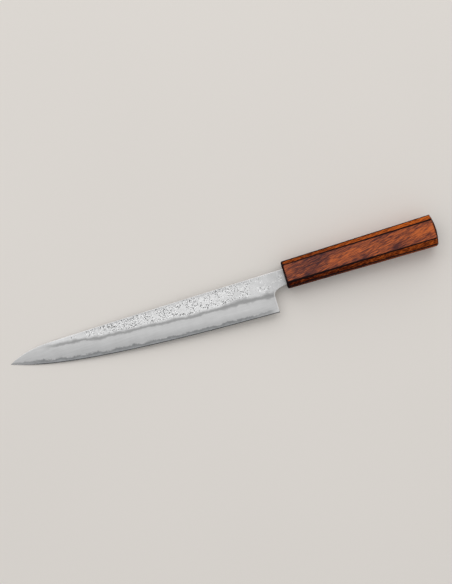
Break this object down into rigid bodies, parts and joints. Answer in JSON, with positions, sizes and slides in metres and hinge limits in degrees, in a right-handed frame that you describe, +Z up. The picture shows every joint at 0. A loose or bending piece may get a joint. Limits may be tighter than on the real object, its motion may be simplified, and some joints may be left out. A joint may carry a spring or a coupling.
{
  "type": "sujihiki knife",
  "caption": "Long slim slicing knife with a three-layer clad blade, pear-skin flats and ground bevels, and a tapered one-piece octagonal wooden handle.",
  "frame": {"origin": "on the surface the knife lies on, under the middle of its bounding box", "axes": "+X from the tip towards the handle's butt, +Y from the cutting edge towards the spine, +Z up, out of the blade's left face"},
  "size_m": [0.3894, 0.0434, 0.025],
  "materials": {
    "core_steel": "hazy stone-ground core steel, darker than the cladding",
    "cladding_steel": "pear-skin forged flats above satin ground bevels",
    "handle_wood": "dark reddish-brown figured hardwood under glossy clear lacquer",
    "bedding_resin": "cured amber resin",
    "seal_resin": "dark sealing resin"
  },
  "bodies": {
    "root": {"core_steel": "core_steel", "left_cladding": "cladding_steel", "right_cladding": "cladding_steel", "handle_body": "handle_wood", "tang_bedding": "bedding_resin", "mouth_seal": "seal_resin"}
  },
  "joints": []
}
